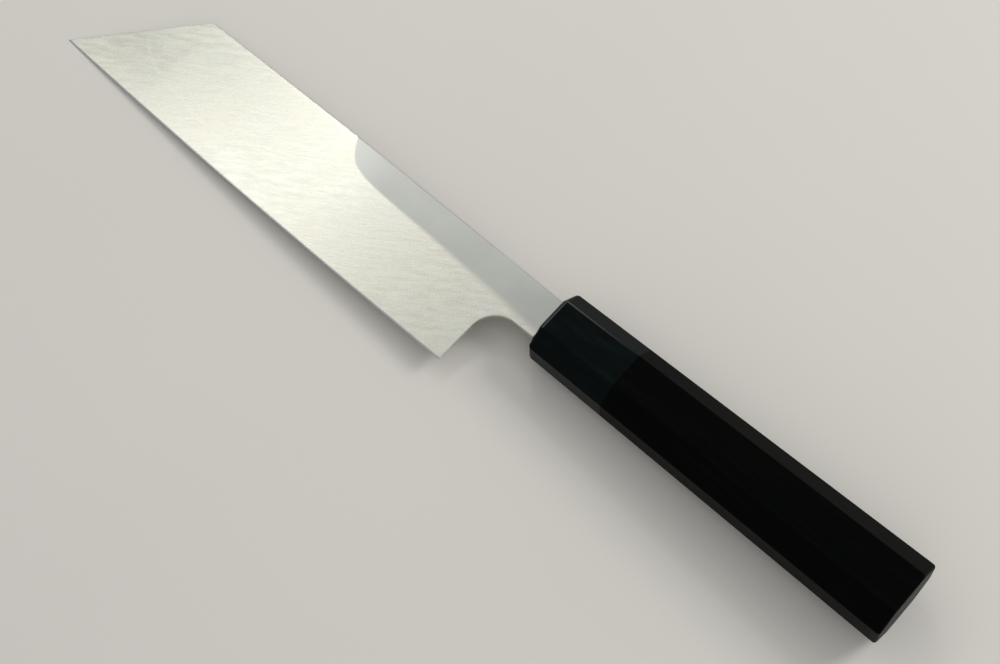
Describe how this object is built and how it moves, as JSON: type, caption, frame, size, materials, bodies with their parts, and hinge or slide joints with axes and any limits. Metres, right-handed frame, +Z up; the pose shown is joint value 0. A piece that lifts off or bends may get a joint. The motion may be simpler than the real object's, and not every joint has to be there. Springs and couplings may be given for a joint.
{
  "type": "boning knife",
  "caption": "Single-bevel eel-filleting and boning knife with a slanted tip, a finger notch behind the heel and a black octagonal handle, lying on its side.",
  "frame": {"origin": "centre of the object's footprint on the surface it lies on: the middle of its length and width, at the height of that surface", "axes": "the knife lies on its side as it rests on a board: +Z up, out of the bevelled face; +X from blade tip to butt; +Y from edge to spine. The handle axis rises about 2.3 degrees towards the butt, because blade tip and handle front touch the board."},
  "size_m": [0.307, 0.0422, 0.0252],
  "materials": {
    "soft_iron": "diagonally stone-ground bevel with a satin flat side",
    "hard_steel": "ground back, finer than the bevel",
    "black_horn": "polished black buffalo horn",
    "black_wood": "oiled black wood, satin, with close straight grain",
    "resin": "set resin, hidden inside the handle",
    "black_sealant": "matte black bead"
  },
  "bodies": {
    "root": {"blade_body": "soft_iron", "hard_steel": "hard_steel", "horn_ferrule": "black_horn", "grip": "black_wood", "tang_bedding": "resin", "mouth_seal": "black_sealant"}
  },
  "joints": []
}
